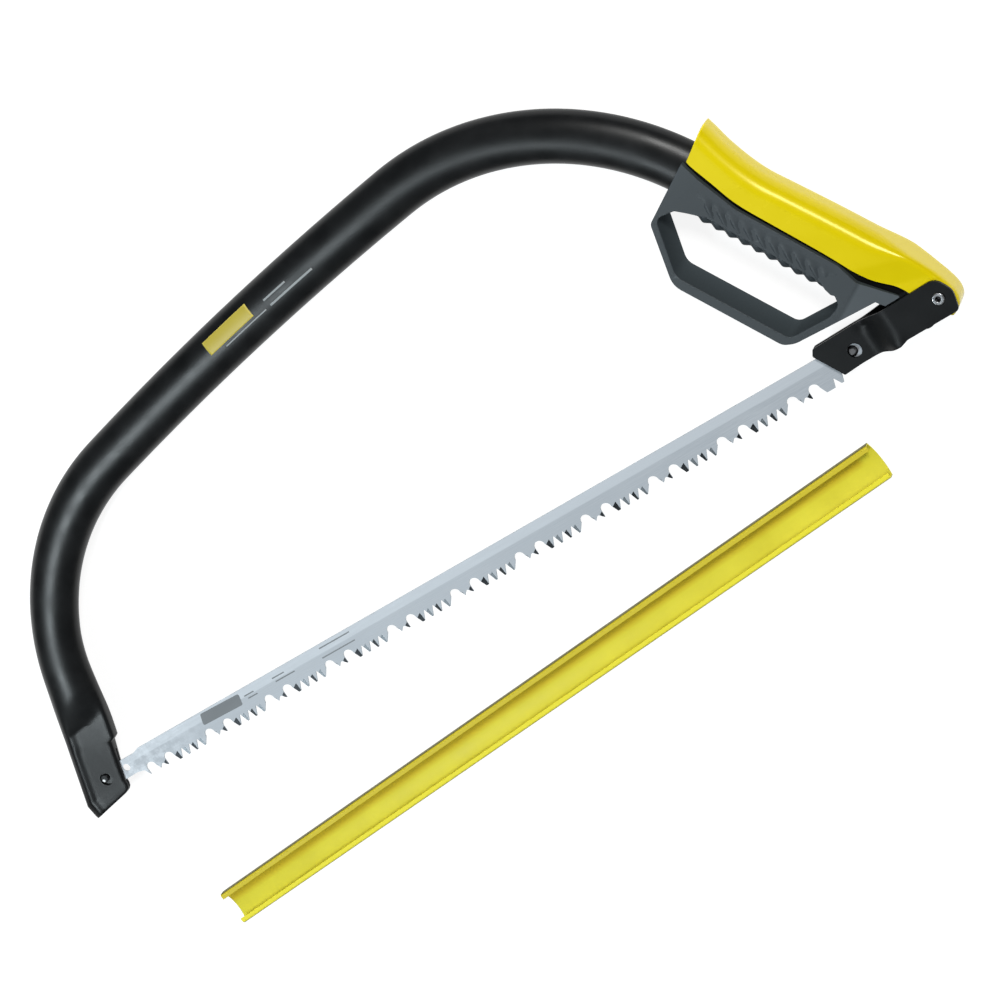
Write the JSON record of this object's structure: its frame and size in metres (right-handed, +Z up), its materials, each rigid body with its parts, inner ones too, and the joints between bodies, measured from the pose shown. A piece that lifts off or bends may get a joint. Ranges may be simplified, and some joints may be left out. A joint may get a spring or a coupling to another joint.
{
  "type": "bow saw",
  "caption": "Bow saw with a bent oval tube frame, raker-toothed blade, over-centre tension lever in a guarded pistol grip, and a loose clip-on blade cover.",
  "frame": {"origin": "on the surface that the set lies on, under the middle of its bounding box", "axes": "+X along the blade from nose to handle, +Y from the blade to the bow, +Z up through the saw's thickness"},
  "size_m": [0.6986, 0.3746, 0.0308],
  "materials": {
    "tube_enamel": "semi-gloss black enamel",
    "blade_steel": "ground steel, hardened tooth tips",
    "grip_plastic": "satin slate grey moulding",
    "cover_plastic": "glossy yellow moulding",
    "channel_steel": "black coated pressed steel",
    "link_enamel": "satin black enamel",
    "rivet_steel": "bright zinc",
    "pin_steel": "zinc plated",
    "dark_steel": "black oxide",
    "bush_plastic": "natural nylon",
    "clip_plastic": "translucent yellow extrusion"
  },
  "bodies": {
    "frame": {"frame_tube": "tube_enamel", "nose_pin": "pin_steel", "blade": "blade_steel", "grip_near_half": "grip_plastic", "grip_far_half": "grip_plastic", "grip_screws": "pin_steel", "pivot_bush": "bush_plastic"},
    "lever": {"lever_cover": "cover_plastic", "lever_channel": "channel_steel", "pivot_pin": "pin_steel"},
    "stirrup": {"link_near_plate": "link_enamel", "link_far_plate": "link_enamel", "link_rivet": "rivet_steel", "link_washers": "pin_steel", "blade_pin": "dark_steel"},
    "loose_cover": {"blade_cover": "clip_plastic"}
  },
  "joints": [
    {"name": "lever_open", "type": "hinge", "parent": "frame", "child": "lever", "pos_m": [0.32548, -0.05086, 0.0154], "axis": [0, 0, -1], "range_deg": [0, 75]},
    {"name": "stirrup_swing", "type": "hinge", "parent": "lever", "child": "stirrup", "pos_m": [0.33918, -0.04796, 0.0154], "axis": [0, 0, -1], "range_deg": [-61, 0]},
    {"name": "cover_swing", "type": "hinge", "parent": "frame", "child": "loose_cover", "pos_m": [0.89611, -0.05626, 0], "axis": [0, 0, -1], "range_deg": [0, 5.63]}
  ],
  "couplings": [
    {"joint": "stirrup_swing", "follows": "lever_open", "ratio": -0.81}
  ]
}
